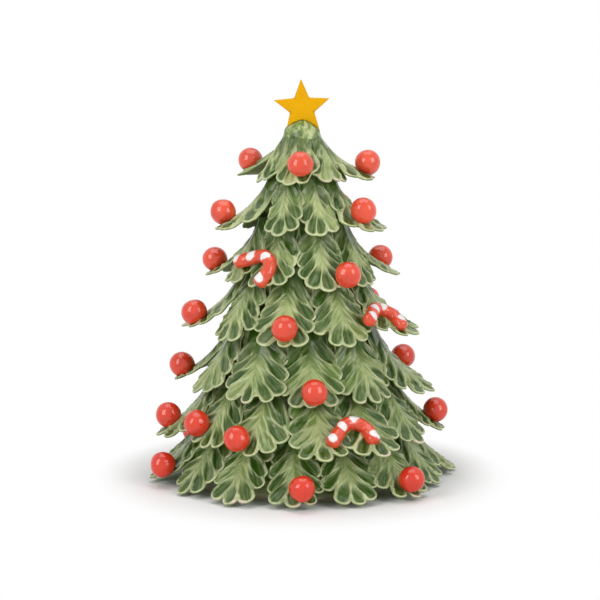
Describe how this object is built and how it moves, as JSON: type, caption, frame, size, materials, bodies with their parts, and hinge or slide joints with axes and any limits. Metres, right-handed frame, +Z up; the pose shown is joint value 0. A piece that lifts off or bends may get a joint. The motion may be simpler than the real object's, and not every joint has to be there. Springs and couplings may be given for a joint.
{
  "type": "ceramic christmas tree",
  "caption": "Free-standing glazed ceramic Christmas tree: hollow clay cone clad in tiers of finger-pressed leaves, with round baubles, candy canes and a star on top.",
  "frame": {"origin": "centre of the foot ring, on the surface that the tree stands on", "axes": "+Z up along the tree's axis to the star, -Y towards the front that the star's flat face looks to, +X to the viewer's right"},
  "size_m": [0.1963, 0.199, 0.2489],
  "materials": {
    "leaf_glaze": "glossy green glaze, dark where it pools in the presses and pale where it breaks over the rims",
    "core_glaze": "green glaze outside, bare cream clay inside and on the foot",
    "bauble_glaze": "glossy red glaze",
    "cane_glaze": "glossy red glaze with white painted stripes",
    "star_glaze": "satin yellow glaze"
  },
  "bodies": {
    "root": {"bauble_tier1_1": "bauble_glaze", "bauble_tier1_2": "bauble_glaze", "bauble_tier1_3": "bauble_glaze", "bauble_tier2_1": "bauble_glaze", "bauble_tier2_2": "bauble_glaze", "bauble_tier2_3": "bauble_glaze", "bauble_tier2_4": "bauble_glaze", "bauble_tier3_1": "bauble_glaze", "bauble_tier3_2": "bauble_glaze", "bauble_tier3_3": "bauble_glaze", "bauble_tier4_1": "bauble_glaze", "bauble_tier4_2": "bauble_glaze", "bauble_tier4_3": "bauble_glaze", "bauble_tier5_1": "bauble_glaze", "bauble_tier5_2": "bauble_glaze", "bauble_tier5_3": "bauble_glaze", "bauble_tier5_4": "bauble_glaze", "bauble_tier6_1": "bauble_glaze", "bauble_tier6_2": "bauble_glaze", "bauble_tier6_3": "bauble_glaze", "bauble_tier6_4": "bauble_glaze", "bauble_tier6_5": "bauble_glaze", "bauble_tier7_1": "bauble_glaze", "bauble_tier7_2": "bauble_glaze", "bauble_tier7_3": "bauble_glaze", "bauble_tier7_4": "bauble_glaze", "bauble_tier7_5": "bauble_glaze", "bauble_tier7_6": "bauble_glaze", "candy_cane_1": "cane_glaze", "candy_cane_2": "cane_glaze", "candy_cane_3": "cane_glaze", "candy_cane_4": "cane_glaze", "candy_cane_5": "cane_glaze", "candy_cane_6": "cane_glaze", "hollow_core": "core_glaze", "leaves_tier1": "leaf_glaze", "leaves_tier2": "leaf_glaze", "leaves_tier3": "leaf_glaze", "leaves_tier4": "leaf_glaze", "leaves_tier5": "leaf_glaze", "leaves_tier6": "leaf_glaze", "leaves_tier7": "leaf_glaze", "star": "star_glaze"}
  },
  "joints": []
}
